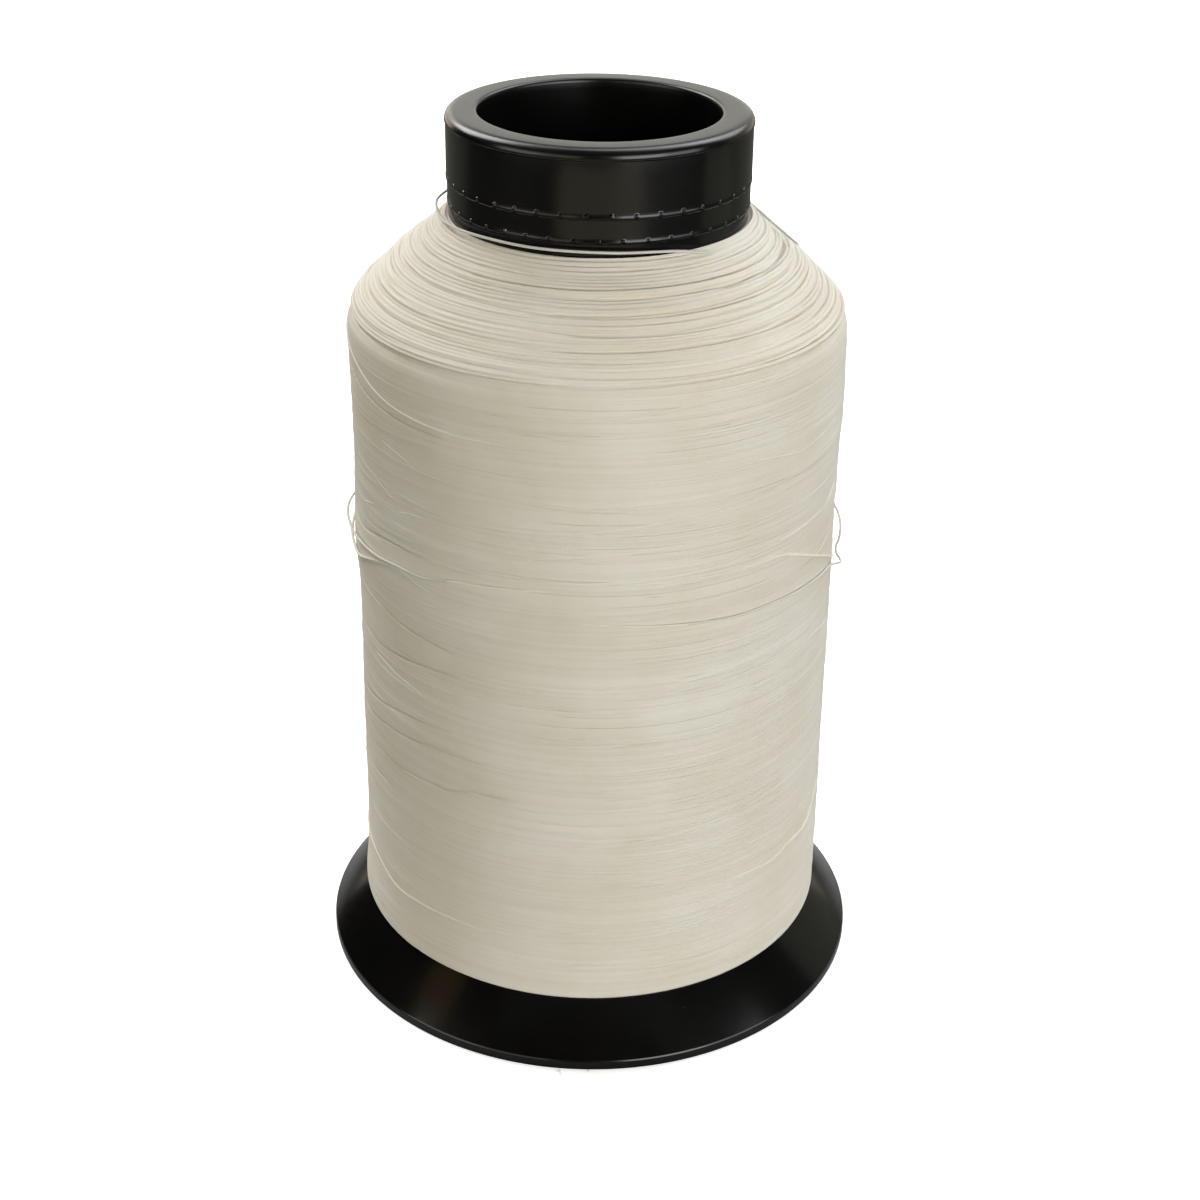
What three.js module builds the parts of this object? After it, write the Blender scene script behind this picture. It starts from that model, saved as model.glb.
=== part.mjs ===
// A flanged spool ("cone") of sewing thread. A black moulded tube stands in a flared foot, ivory
// thread is wound round it in one package with a sloping shoulder, and two slack strands stand off
// the winding: the thread's loose end, which circles the collar, and a slack turn at mid height.
//
// Units are millimetres and +Z is up. The origin is the centre of the foot, on the surface that the
// spool stands on, and the spool's axis is the Z axis.
import * as THREE from 'three';

// Driving dimensions.
const OVERALL_HEIGHT = 115;
const BORE_RADIUS = 14.55;
const TUBE_RADIUS = 18.15;
const GAP = 0.3;

// The collar is the bare top of the tube: a rim, then two shallow rings whose lower lips hold an end.
const RIM = { radius: 18.45, depth: 1.2, round: 1.0, boreBevel: 0.3 };
const RINGS = [
  { top: 113.5, wall: 18.33, lip: 18.46, bottom: 106.95 },
  { top: 106.55, wall: 18.26, lip: 18.38, bottom: 104.1 },
];
const LIP_HEIGHT = 0.55;
const GROOVE_RADIUS = 18.02;

const FOOT = {
  radius: 36.35,
  cornerHeight: 0.97,
  cornerRound: 0.67,
  topRadius: 31.25,
  height: 7.36,
  topRound: 0.4,
  wall: 2.0,
};

// The package is widest at its bottom, and its shoulder is a low dome that ends against the collar.
const PACKAGE = {
  bottomRadius: 31.2,
  topRadius: 30.85,
  bottomRound: 0.5,
  cornerHeight: 88.6,
  cornerTip: 91.7,
  shoulderRadius: 28.35,
  shoulderHeight: 93.7,
  domeRadius: 24.6,
  domeHeight: 97.7,
  collarHeight: 102.0,
};

const STRAND_DIAMETER = 0.35;
const STRAND_SIDES = 8;
const STEPS_PER_ROW = 4;

// Routes: [angle about the axis in degrees, distance from the axis, height] of the strand's centre.
// The end strand leaves the shoulder at the front, circles the collar past a small standing loop
// on the left, and ends bare, lying down the shoulder on the right.
const END_STRAND_ROUTE = [
  [-48, 19.6, 102.1],
  [-60, 19.02, 102.95],
  [-85, 18.92, 103.4],
  [-112, 18.92, 103.45],
  [-138, 18.93, 103.3],
  [-156, 19.05, 102.9],
  [-168, 19.3, 102.8],
  [-178, 19.58, 103.5],
  [-190, 19.2, 103.55],
  [-215, 18.92, 103.2],
  [-245, 18.92, 103.05],
  [-275, 18.92, 102.9],
  [-305, 18.95, 102.75],
  [-330, 19.05, 102.45],
  [-345, 19.95, 101.75],
  [-356, 21.7, 100.55],
  [-365.5, 24.2, 99.45],
];
// The slack strand leaves the winding at the front left, bulges off it at both sides, and turns
// back on itself in a small kink on the right before it joins the winding again at the front.
const SLACK_STRAND_ROUTE = [
  [-122, 31.22, 65.35],
  [-131, 31.22, 64.35],
  [-140, 31.24, 64.15],
  [-147.5, 31.28, 63.65],
  [-155, 31.34, 63.3],
  [-163, 31.45, 62.9],
  [-170, 31.68, 62.8],
  [-176, 31.95, 62.85],
  [-181, 32.02, 62.85],
  [-187, 31.85, 62.8],
  [-197, 31.55, 62.6],
  [-214, 31.35, 62.3],
  [-238, 31.3, 62.2],
  [-262, 31.3, 62.1],
  [-286, 31.3, 62.1],
  [-310, 31.3, 62.0],
  [-332, 31.4, 62.0],
  [-347, 31.65, 62.0],
  [-357, 31.93, 61.9],
  [-363.6, 31.98, 61.2],
  [-364.8, 31.78, 59.9],
  [-364.9, 31.49, 58.9],
  [-365.7, 31.65, 58.2],
  [-367.3, 32.12, 57.9],
  [-369.1, 32.2, 57.95],
  [-371.3, 31.75, 58.3],
  [-376, 31.36, 59.3],
  [-386, 31.25, 60.15],
  [-394, 31.22, 60.55],
  [-402, 31.22, 60.85],
  [-418, 31.22, 61.1],
  [-431, 31.22, 61.6],
];

const ROUND_SEGMENTS = 72;
const CURVE_STEPS = 5;

const MATERIALS = {
  plastic: { color: 0x0c0c0d, roughness: 0.38, metalness: 0 },
  thread: { color: 0xe6e0d4, roughness: 0.75, metalness: 0 },
};

function mesh(name, geometry, finish) {
  const piece = new THREE.Mesh(geometry, new THREE.MeshStandardMaterial(MATERIALS[finish]));
  piece.name = name;
  return piece;
}

// Turns a closed outline, drawn as radius against height, round the Z axis.
function turned(path) {
  const outline = path.getPoints(CURVE_STEPS);
  outline.push(outline[0].clone());
  const geometry = new THREE.LatheGeometry(outline, ROUND_SEGMENTS);
  geometry.rotateX(Math.PI / 2);
  return geometry;
}

// The tube runs from the surface to the rim, with one straight bore. Its outline goes up the outside
// and down the bore.
function spoolTube() {
  const path = new THREE.Path();
  path.moveTo(BORE_RADIUS, 0);
  path.lineTo(TUBE_RADIUS, 0);
  path.lineTo(TUBE_RADIUS, RINGS[1].bottom - LIP_HEIGHT / 2);
  for (const ring of [...RINGS].reverse()) {
    path.lineTo(GROOVE_RADIUS, ring.bottom - LIP_HEIGHT / 2);
    path.lineTo(GROOVE_RADIUS, ring.bottom);
    path.lineTo(ring.lip, ring.bottom);
    path.lineTo(ring.wall, ring.bottom + LIP_HEIGHT);
    path.lineTo(ring.wall, ring.top);
  }
  const rimBottom = OVERALL_HEIGHT - RIM.depth;
  path.lineTo(RIM.radius, rimBottom);
  path.lineTo(RIM.radius, OVERALL_HEIGHT - RIM.round);
  path.quadraticCurveTo(RIM.radius, OVERALL_HEIGHT, RIM.radius - RIM.round, OVERALL_HEIGHT);
  path.lineTo(BORE_RADIUS + RIM.boreBevel, OVERALL_HEIGHT);
  path.lineTo(BORE_RADIUS, OVERALL_HEIGHT - RIM.boreBevel);
  return mesh('spool_tube', turned(path), 'plastic');
}

// The foot is a thin conical skirt under a flat plate, open below. The package sits on the plate.
function flaredFoot() {
  const slope = (FOOT.topRadius - FOOT.radius) / (FOOT.height - FOOT.cornerHeight);
  const skirtRadius = (height) => FOOT.radius + slope * (height - FOOT.cornerHeight);
  const skirtThickness = FOOT.wall * Math.hypot(1, slope);
  const innerRadius = (height) => skirtRadius(height) - skirtThickness;
  const plateBottom = FOOT.height - FOOT.wall;
  const holeRadius = TUBE_RADIUS + GAP;
  const cornerTop = FOOT.cornerHeight + FOOT.cornerRound;
  const roundStart = FOOT.height - FOOT.topRound;

  const path = new THREE.Path();
  path.moveTo(innerRadius(0), 0);
  path.lineTo(FOOT.radius, 0);
  path.lineTo(FOOT.radius, FOOT.cornerHeight - FOOT.cornerRound);
  path.quadraticCurveTo(FOOT.radius, FOOT.cornerHeight, skirtRadius(cornerTop), cornerTop);
  path.lineTo(skirtRadius(roundStart), roundStart);
  path.quadraticCurveTo(FOOT.topRadius, FOOT.height, FOOT.topRadius - FOOT.topRound, FOOT.height);
  path.lineTo(holeRadius, FOOT.height);
  path.lineTo(holeRadius, plateBottom);
  path.lineTo(innerRadius(plateBottom), plateBottom);
  return mesh('flared_foot', turned(path), 'plastic');
}

// The whole winding is one solid ring: a flat bottom, a nearly straight side and a domed shoulder.
function threadPackage() {
  const innerRadius = TUBE_RADIUS + GAP;
  const bottom = FOOT.height + GAP;
  const { bottomRadius, bottomRound, topRadius } = PACKAGE;

  const path = new THREE.Path();
  path.moveTo(innerRadius, bottom);
  path.lineTo(bottomRadius - bottomRound, bottom);
  path.quadraticCurveTo(bottomRadius, bottom, bottomRadius, bottom + bottomRound);
  path.lineTo(topRadius, PACKAGE.cornerHeight);
  path.quadraticCurveTo(topRadius, PACKAGE.cornerTip, PACKAGE.shoulderRadius, PACKAGE.shoulderHeight);
  path.quadraticCurveTo(PACKAGE.domeRadius, PACKAGE.domeHeight, innerRadius, PACKAGE.collarHeight);
  return mesh('thread_package', turned(path), 'thread');
}

// A route whose parameter counts its rows evenly, so that steps are short where rows are close.
class StrandRoute extends THREE.CatmullRomCurve3 {
  getUtoTmapping(u) {
    return u;
  }
}

function roundTheAxis([degrees, radius, height]) {
  const angle = THREE.MathUtils.degToRad(degrees);
  return new THREE.Vector3(radius * Math.cos(angle), radius * Math.sin(angle), height);
}

function strandSection() {
  const corners = [];
  for (let side = 0; side < STRAND_SIDES; side += 1) {
    const angle = (2 * Math.PI * side) / STRAND_SIDES;
    const corner = new THREE.Vector2(Math.cos(angle), Math.sin(angle));
    corners.push(corner.multiplyScalar(STRAND_DIAMETER / 2));
  }
  return new THREE.Shape(corners);
}

function strand(name, rows) {
  const geometry = new THREE.ExtrudeGeometry(strandSection(), {
    steps: STEPS_PER_ROW * (rows.length - 1),
    extrudePath: new StrandRoute(rows.map(roundTheAxis)),
  });
  return mesh(name, geometry, 'thread');
}

const spool = new THREE.Group();
spool.add(spoolTube());
spool.add(flaredFoot());
spool.add(threadPackage());
spool.add(strand('end_strand', END_STRAND_ROUTE));
spool.add(strand('slack_strand', SLACK_STRAND_ROUTE));

export default spool;
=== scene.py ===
"""A flanged spool ("cone") of ivory sewing thread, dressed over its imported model.

The black tube and foot are turned meshes with the fine steps, lips and notches of the moulding.
The winding is laid turn by turn: each turn rests on the ones before it, so the surface has real
threads, gaps and crossings. Two loose strands are free cords on the routes that the CAD model
gives them. Blender's unit is the metre. Small sizes are written in millimetres times MM, and the
tables that say millimetres are turned into metres where they are used.
"""

import math

import bpy
import numpy as np
from mathutils import Matrix, Vector


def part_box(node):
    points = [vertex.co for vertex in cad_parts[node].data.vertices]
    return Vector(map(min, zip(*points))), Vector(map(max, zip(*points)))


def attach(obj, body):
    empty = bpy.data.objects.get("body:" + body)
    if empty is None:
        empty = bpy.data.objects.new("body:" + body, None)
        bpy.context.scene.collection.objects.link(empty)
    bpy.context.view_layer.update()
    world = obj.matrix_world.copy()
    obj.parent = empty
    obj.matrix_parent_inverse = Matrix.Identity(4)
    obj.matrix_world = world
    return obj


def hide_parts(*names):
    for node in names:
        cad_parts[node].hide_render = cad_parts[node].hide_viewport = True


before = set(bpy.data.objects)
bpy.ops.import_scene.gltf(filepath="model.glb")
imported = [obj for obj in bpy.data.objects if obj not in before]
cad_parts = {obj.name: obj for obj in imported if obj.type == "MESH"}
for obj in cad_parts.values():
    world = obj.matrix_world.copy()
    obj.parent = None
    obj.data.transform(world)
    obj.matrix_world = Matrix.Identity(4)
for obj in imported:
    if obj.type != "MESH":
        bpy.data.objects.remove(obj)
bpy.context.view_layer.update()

MM = 0.001
BODY = "root"
THREAD_SLOT = "ivory_thread"
PLASTIC_SLOT = "black_plastic"
TURN = 2 * math.pi
SEED = 11

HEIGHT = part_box("spool_tube")[1][2]
FOOT_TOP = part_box("flared_foot")[1][2]
FOOT_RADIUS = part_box("flared_foot")[1][0]
# The winding's radius, near enough to turn an angle into a distance along the thread.
BODY_RADIUS = 31 * MM


# ---------------------------------------------------------------------------------------- camera

CAMERA_PLACE = (0.0, -0.24104, 0.17622)
CAMERA_PITCH = math.radians(27.7806)
CAMERA_YAW = math.radians(0.2037)
CAMERA_ROLL = math.radians(0.8211)
LENS_MM = 61.33
SENSOR_MM = 36.0


def add_camera():
    """Looks along +Y and down, with the photograph's slight yaw and roll."""
    level = math.cos(CAMERA_PITCH)
    ahead = Vector(
        (
            math.sin(CAMERA_YAW) * level,
            math.cos(CAMERA_YAW) * level,
            -math.sin(CAMERA_PITCH),
        )
    )
    right = ahead.cross(Vector((0, 0, 1))).normalized()
    up = right.cross(ahead)
    side = math.cos(CAMERA_ROLL) * right + math.sin(CAMERA_ROLL) * up
    top = math.cos(CAMERA_ROLL) * up - math.sin(CAMERA_ROLL) * right
    data = bpy.data.cameras.new("camera")
    data.lens = LENS_MM
    data.sensor_width = SENSOR_MM
    data.clip_start = 0.01
    camera = bpy.data.objects.new("camera", data)
    axes = Matrix((side, top, -ahead)).transposed()
    camera.matrix_world = Matrix.Translation(CAMERA_PLACE) @ axes.to_4x4()
    bpy.context.collection.objects.link(camera)
    bpy.context.scene.camera = camera


# ---------------------------------------------------------------------------------- mesh helpers


def add_mesh(name, points, faces, material):
    """One smooth mesh object from rows of points and lists of corner numbers."""
    data = bpy.data.meshes.new(name)
    data.from_pydata(points, [], faces)
    data.shade_smooth()
    data.materials.append(material)
    piece = bpy.data.objects.new(name, data)
    bpy.context.collection.objects.link(piece)
    return piece


def ring_faces(rows, columns, closed):
    """Quads between neighbouring rings of points, and between the last and first if closed."""
    row = np.arange(rows if closed else rows - 1)[:, None]
    column = np.arange(columns)[None, :]
    above = (row + 1) % rows
    beside = (column + 1) % columns
    corners = (
        row * columns + column,
        row * columns + beside,
        above * columns + beside,
        above * columns + column,
    )
    return np.stack([corner + 0 * column for corner in corners], axis=-1).reshape(-1, 4)


def turned_rings(outline, angle):
    """Points of an outline, as rows of radius and height, turned to every angle about the axis."""
    radius, height = outline[:, :1], outline[:, 1:]
    return np.stack([radius * np.cos(angle), radius * np.sin(angle), height + 0 * angle], axis=-1)


def distance_along(line):
    """How far along the line each of its points is."""
    steps = np.linalg.norm(np.diff(line, axis=0), axis=1)
    return np.concatenate([[0], np.cumsum(steps)])


def dress(piece, slot, *nodes):
    """The piece rides on the one body and stands for the nodes. The slot is not used."""
    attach(piece, BODY)
    if nodes:
        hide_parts(*nodes)
    return piece


# ------------------------------------------------------------------------------------- materials


class Shader:
    """A short way to write a node tree: each call adds one node and returns it."""

    def __init__(self, name):
        self.material = bpy.data.materials.new(name)
        self.material.use_nodes = True
        self.nodes = self.material.node_tree.nodes
        self.nodes.clear()
        self.links = self.material.node_tree.links

    def put(self, socket, value):
        if isinstance(value, bpy.types.NodeSocket):
            self.links.new(value, socket)
        else:
            socket.default_value = value

    def node(self, kind, settings=(), **inputs):
        made = self.nodes.new(kind)
        for key, value in dict(settings).items():
            setattr(made, key, value)
        for key, value in inputs.items():
            self.put(made.inputs[key.replace("_", " ")], value)
        return made

    def math(self, operation, *values):
        made = self.nodes.new("ShaderNodeMath")
        made.operation = operation
        for socket, value in zip(made.inputs, values):
            self.put(socket, value)
        return made.outputs[0]

    def attribute(self, name):
        return self.node("ShaderNodeAttribute", {"attribute_name": name}).outputs["Fac"]

    def place(self):
        return self.node("ShaderNodeTexCoord").outputs["Object"]

    def stretched(self, scale):
        """The object's own coordinates, scaled differently along each axis."""
        return self.node("ShaderNodeMapping", Vector=self.place(), Scale=scale).outputs[0]

    def noise(self, vector, scale, detail=2.0, roughness=0.5):
        return self.node(
            "ShaderNodeTexNoise",
            Vector=vector,
            Scale=scale,
            Detail=detail,
            Roughness=roughness,
        ).outputs["Fac"]

    def spread(self, value, low, high, to_low, to_high):
        """The value moved from the range low to high to a new range, and held inside it."""
        made = self.nodes.new("ShaderNodeMapRange")
        for socket, number in zip(made.inputs, (value, low, high, to_low, to_high)):
            self.put(socket, number)
        return made.outputs[0]

    def blend(self, share, first, second):
        """A colour that goes from the first to the second as the share goes from 0 to 1."""
        made = self.nodes.new("ShaderNodeMix")
        made.data_type = "RGBA"
        colours = [socket for socket in made.inputs if socket.type == "RGBA"]
        self.put(made.inputs[0], share)
        self.put(colours[0], first)
        self.put(colours[1], second)
        return next(out for out in made.outputs if out.type == "RGBA")

    def bump(self, height, distance, normal=None):
        made = self.node("ShaderNodeBump", Height=height, Distance=distance, Strength=1.0)
        if normal is not None:
            self.put(made.inputs["Normal"], normal)
        return made.outputs[0]

    def finish(self, surface):
        """Ends the tree in its output and returns the material."""
        out = self.nodes.new("ShaderNodeOutputMaterial")
        self.links.new(surface.outputs[0], out.inputs["Surface"])
        return self.material


THREAD_PALE = (0.86, 0.82, 0.735, 1)
THREAD_WARM = (0.80, 0.745, 0.63, 1)
# The darker colour that the turns blend towards: a tone that some turns have at random, and painted
# shade in the valleys and grooves between turns.
THREAD_DARK_TONE_AND_SHADE = (0.62, 0.56, 0.44, 1)
# The loose strands, the frayed end and the lint take a darker copy of the same ivory: painted
# shade, as free strands are lit mostly from behind.
LOOSE_PALE_SHADED = (0.72, 0.695, 0.645, 1)
LOOSE_WARM_SHADED = (0.68, 0.65, 0.585, 1)
TWIST_PERIOD = 0.45 * MM
TWIST_RISE = 0.62
TONE_SHARE = 0.2
# How strongly the painted shade darkens the valleys between turns.
GROOVE_SHADE_SHARE = 0.2


def thread_material(name, pale, warm, wound=False):
    """Spun polyester. Wound thread has its twist as bump, reads each turn's tone, and paints shade
    by its depth in the valleys between turns.
    """
    s = Shader(name)
    place = s.place()
    patches = s.noise(place, 70.0, 3.0)
    colour = s.blend(s.spread(patches, 0.35, 0.65, 0.0, 1.0), pale, warm)
    fibre = s.noise(place, 9000.0, 3.0, 0.7)
    if wound:
        tone, depth = s.attribute("tone"), s.attribute("depth")
        colour = s.blend(s.math("MULTIPLY", tone, TONE_SHARE), colour, THREAD_DARK_TONE_AND_SHADE)
        # Painted shade: the deeper a point lies between the turns, the darker it is.
        colour = s.blend(s.math("MULTIPLY", depth, GROOVE_SHADE_SHARE), colour, THREAD_DARK_TONE_AND_SHADE)
        axes = s.node("ShaderNodeSeparateXYZ", Vector=place).outputs
        along = s.math("MULTIPLY", s.math("ARCTAN2", axes[1], axes[0]), BODY_RADIUS)
        slant = s.math("MULTIPLY_ADD", axes[2], TWIST_RISE, along)
        start = s.math("MULTIPLY", tone, 40.0)
        phase = s.math("MULTIPLY_ADD", slant, TURN / TWIST_PERIOD, start)
        twist = s.spread(s.math("SINE", phase), -1.0, 1.0, 0.0, 1.0)
        normal = s.bump(twist, 0.012 * MM)
        normal = s.bump(fibre, 0.012 * MM, normal)
    else:
        normal = s.bump(fibre, 0.015 * MM)
    surface = s.node(
        "ShaderNodeBsdfPrincipled",
        Base_Color=colour,
        Roughness=s.spread(fibre, 0.3, 0.7, 0.55, 0.72),
        Normal=normal,
    )
    surface.inputs["IOR"].default_value = 1.5
    if not wound:
        surface.inputs["Subsurface Weight"].default_value = 0.2
        surface.inputs["Subsurface Radius"].default_value = (1.0, 0.95, 0.85)
        surface.inputs["Subsurface Scale"].default_value = 0.4 * MM
    surface.inputs["Sheen Weight"].default_value = 0.15
    surface.inputs["Sheen Roughness"].default_value = 0.4
    return s.finish(surface)


PLASTIC_DARK = (0.0022, 0.0022, 0.0023, 1)
PLASTIC_LIGHT = (0.0045, 0.0042, 0.0036, 1)
PLASTIC_DUST = (0.30, 0.29, 0.27, 1)
RIM_BAND = (HEIGHT - 1.2 * MM, HEIGHT - 0.3 * MM)


def plastic_material():
    """Black moulded plastic: a soft gloss, duller at the rim, faint marks and a little dust."""
    s = Shader("black_plastic")
    place = s.place()
    clouds = s.noise(place, 90.0, 3.0)
    marks = s.noise(s.stretched((40.0, 40.0, 900.0)), 6.0, 3.0, 0.6)
    dust = s.node(
        "ShaderNodeTexVoronoi", {"feature": "F1"}, Vector=place, Scale=260.0
    ).outputs["Distance"]
    speck = s.spread(dust, 0.0, 0.035, 1.0, 0.0)
    colour = s.blend(clouds, PLASTIC_DARK, PLASTIC_LIGHT)
    colour = s.blend(s.math("MULTIPLY", speck, 0.12), colour, PLASTIC_DUST)
    rough = s.spread(clouds, 0.3, 0.7, 0.15, 0.19)
    rough = s.math("ADD", rough, s.spread(marks, 0.55, 0.75, 0.0, 0.03))
    height = s.node("ShaderNodeSeparateXYZ", Vector=place).outputs[2]
    rough = s.math("ADD", rough, s.spread(height, *RIM_BAND, 0.0, 0.13))
    skin = s.noise(place, 1800.0, 2.0)
    normal = s.bump(skin, 0.004 * MM)
    normal = s.bump(marks, 0.0015 * MM, normal)
    surface = s.node(
        "ShaderNodeBsdfPrincipled", Base_Color=colour, Roughness=rough, Normal=normal
    )
    surface.inputs["IOR"].default_value = 1.5
    return s.finish(surface)


# ----------------------------------------------------------------------------------------- cords

STRAND_DIAMETER = 0.35 * MM
RING_STEP = 0.12 * MM
PLIES = 3
PLY_SIDES = 5
PLY_GROOVE = 0.1
TWIST_LENGTH = 1.5 * MM

# Routes, as in the CAD model: [angle about the axis in degrees, distance from it, height].
END_STRAND_ROUTE = [
    [-48, 0.0196, 0.1021],
    [-60, 0.01902, 0.10295],
    [-85, 0.01892, 0.1034],
    [-112, 0.01892, 0.10345],
    [-138, 0.01893, 0.1033],
    [-156, 0.01905, 0.1029],
    [-168, 0.0193, 0.1028],
    [-178, 0.01958, 0.1035],
    [-190, 0.0192, 0.10355],
    [-215, 0.01892, 0.1032],
    [-245, 0.01892, 0.10305],
    [-275, 0.01892, 0.1029],
    [-305, 0.01895, 0.10275],
    [-330, 0.01905, 0.10245],
    [-345, 0.01995, 0.10175],
    [-356, 0.0217, 0.10055],
    [-365.5, 0.0242, 0.09945],
]
SLACK_STRAND_ROUTE = [
    [-122, 0.03122, 0.06535],
    [-131, 0.03122, 0.06435],
    [-140, 0.03124, 0.06415],
    [-147.5, 0.03128, 0.06365],
    [-155, 0.03134, 0.0633],
    [-163, 0.03145, 0.0629],
    [-170, 0.03168, 0.0628],
    [-176, 0.03195, 0.06285],
    [-181, 0.03202, 0.06285],
    [-187, 0.03185, 0.0628],
    [-197, 0.03155, 0.0626],
    [-214, 0.03135, 0.0623],
    [-238, 0.0313, 0.0622],
    [-262, 0.0313, 0.0621],
    [-286, 0.0313, 0.0621],
    [-310, 0.0313, 0.062],
    [-332, 0.0314, 0.062],
    [-347, 0.03165, 0.062],
    [-357, 0.03193, 0.0619],
    [-363.6, 0.03198, 0.0612],
    [-364.8, 0.03178, 0.0599],
    [-364.9, 0.03149, 0.0589],
    [-365.7, 0.03165, 0.0582],
    [-367.3, 0.03212, 0.0579],
    [-369.1, 0.0322, 0.05795],
    [-371.3, 0.03175, 0.0583],
    [-376, 0.03136, 0.0593],
    [-386, 0.03125, 0.06015],
    [-394, 0.03122, 0.06055],
    [-402, 0.03122, 0.06085],
    [-418, 0.03122, 0.0611],
    [-431, 0.03122, 0.0616],
]


def round_the_axis(rows):
    """Points in metres from rows of angle, radius and height."""
    table = np.array(rows, float)
    angle = np.radians(table[:, 0])
    return np.stack(
        [table[:, 1] * np.cos(angle), table[:, 1] * np.sin(angle), table[:, 2]], axis=1
    )


def smooth_line(points, steps=24):
    """A centripetal Catmull-Rom curve through the points, as the CAD strands follow."""
    ends = 2 * points[0] - points[1], 2 * points[-1] - points[-2]
    knots = np.vstack([ends[0], points, ends[1]])
    line = []
    for first in range(len(points) - 1):
        p = knots[first : first + 4]
        gaps = np.sqrt(np.linalg.norm(np.diff(p, axis=0), axis=1))
        t = np.concatenate([[0], np.cumsum(gaps)])
        now = np.linspace(t[1], t[2], steps, endpoint=False)[:, None]

        def between(a, b, low, high):
            return ((t[high] - now) * a + (now - t[low]) * b) / (t[high] - t[low])

        a1, a2, a3 = (between(p[k], p[k + 1], k, k + 1) for k in range(3))
        b1, b2 = between(a1, a2, 0, 2), between(a2, a3, 1, 3)
        line.append(between(b1, b2, 1, 2))
    return np.vstack(line + [points[-1:]])


def even_line(line, step):
    """The same line with its points a step apart."""
    along = distance_along(line)
    at = np.linspace(0, along[-1], int(along[-1] / step) + 2)
    return np.stack([np.interp(at, along, line[:, k]) for k in range(3)], axis=1)


def carried_frames(line):
    """At each point of the line two directions across it, carried along without twist."""
    ahead = np.gradient(line, axis=0)
    ahead /= np.linalg.norm(ahead, axis=1)[:, None]
    across = np.cross(ahead[0], [0, 0, 1.0])
    first = []
    for direction in ahead:
        across = across - direction * (across @ direction)
        across = across / np.linalg.norm(across)
        first.append(across)
    first = np.array(first)
    return first, np.cross(ahead, first)


def strand_rings(line, radius):
    """Rings of points for a three-ply twisted strand along the line."""
    first, second = carried_frames(line)
    along = distance_along(line)
    corner = np.arange(PLIES * PLY_SIDES) / (PLIES * PLY_SIDES) * TURN
    lobes = (1 - PLY_GROOVE) + PLY_GROOVE * np.abs(np.cos(corner * PLIES / 2))
    turned = corner[None, :] + TURN * along[:, None] / TWIST_LENGTH
    size = radius * lobes
    return (
        line[:, None, :]
        + first[:, None, :] * (size * np.cos(turned))[..., None]
        + second[:, None, :] * (size * np.sin(turned))[..., None]
    )


def strand_parts(line, radius):
    """Points and faces of one closed strand, capped by a fan at each end."""
    rings = strand_rings(line, radius)
    count, sides = rings.shape[:2]
    points = np.vstack([rings.reshape(-1, 3), line[:1], line[-1:]])
    faces = ring_faces(count, sides, False).tolist()
    start, end = count * sides, count * sides + 1
    last = (count - 1) * sides
    for side in range(sides):
        beside = (side + 1) % sides
        faces.append((start, beside, side))
        faces.append((end, last + side, last + beside))
    return points, faces


def join_parts(parts):
    """One list of points and one of faces from several."""
    points, faces, base = [], [], 0
    for some_points, some_faces in parts:
        points.append(some_points)
        faces += [tuple(base + corner for corner in face) for face in some_faces]
        base += len(some_points)
    return np.vstack(points), faces


FRAY_LENGTH = 0.9 * MM
FRAY_FIBRES = 14
FIBRE_RADIUS = 0.015 * MM


def tube_parts(line, radius, sides):
    """Points and faces of one plain closed tube, with a radius at each point of the line."""
    first, second = carried_frames(line)
    angle = np.arange(sides) / sides * TURN
    reach = np.broadcast_to(radius, len(line))[:, None, None]
    across = (
        first[:, None, :] * np.cos(angle)[:, None] + second[:, None, :] * np.sin(angle)[:, None]
    )
    rings = line[:, None, :] + reach * across
    faces = ring_faces(len(line), sides, False).tolist()
    last = sides * (len(line) - 1)
    faces.append(tuple(range(sides))[::-1])
    faces.append(tuple(last + side for side in range(sides)))
    return rings.reshape(-1, 3), faces


def frayed_tip(line, rng):
    """The cut end's fibres, splayed out past the last point."""
    ahead = line[-1] - line[-2]
    ahead /= np.linalg.norm(ahead)
    parts = []
    for _ in range(FRAY_FIBRES):
        aside = rng.normal(0, 1, 3)
        aside -= ahead * (aside @ ahead)
        root = line[-1] + aside * 0.04 * MM - ahead * 0.25 * MM
        steps = np.linspace(0, 1, 7)[:, None]
        reach = FRAY_LENGTH * rng.uniform(0.45, 1.0)
        bend = aside * steps**2 * reach * 0.35
        hair = root + ahead * steps * reach + bend
        parts.append(tube_parts(hair, FIBRE_RADIUS * np.linspace(1.0, 0.5, len(hair)), 4))
    return parts


def add_strand(name, rows, material):
    """A loose strand as a free cord in place of its CAD tube. Returns its centre line."""
    line = even_line(smooth_line(round_the_axis(rows)), RING_STEP)
    piece = add_mesh(name, *strand_parts(line, STRAND_DIAMETER / 2), material)
    dress(piece, THREAD_SLOT, name)
    piece.name = name + "_twisted"
    return line


# ------------------------------------------------------------------------------- tube and collar

BORE_RADIUS = 14.55 * MM
WALL_RADIUS = 18.15 * MM
NOTCHES = 40
NOTCH_HALF_WIDTH = 0.26 * MM
NOTCH_RISE = 0.24 * MM
# Where columns of points stand in each half of the notches' pitch: close together at a notch.
TUBE_COLUMNS_PER_STEP = (-0.5, -0.3, -0.25, -0.22, -0.16, -0.08, 0.0, 0.08, 0.16, 0.22, 0.25, 0.3)

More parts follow.
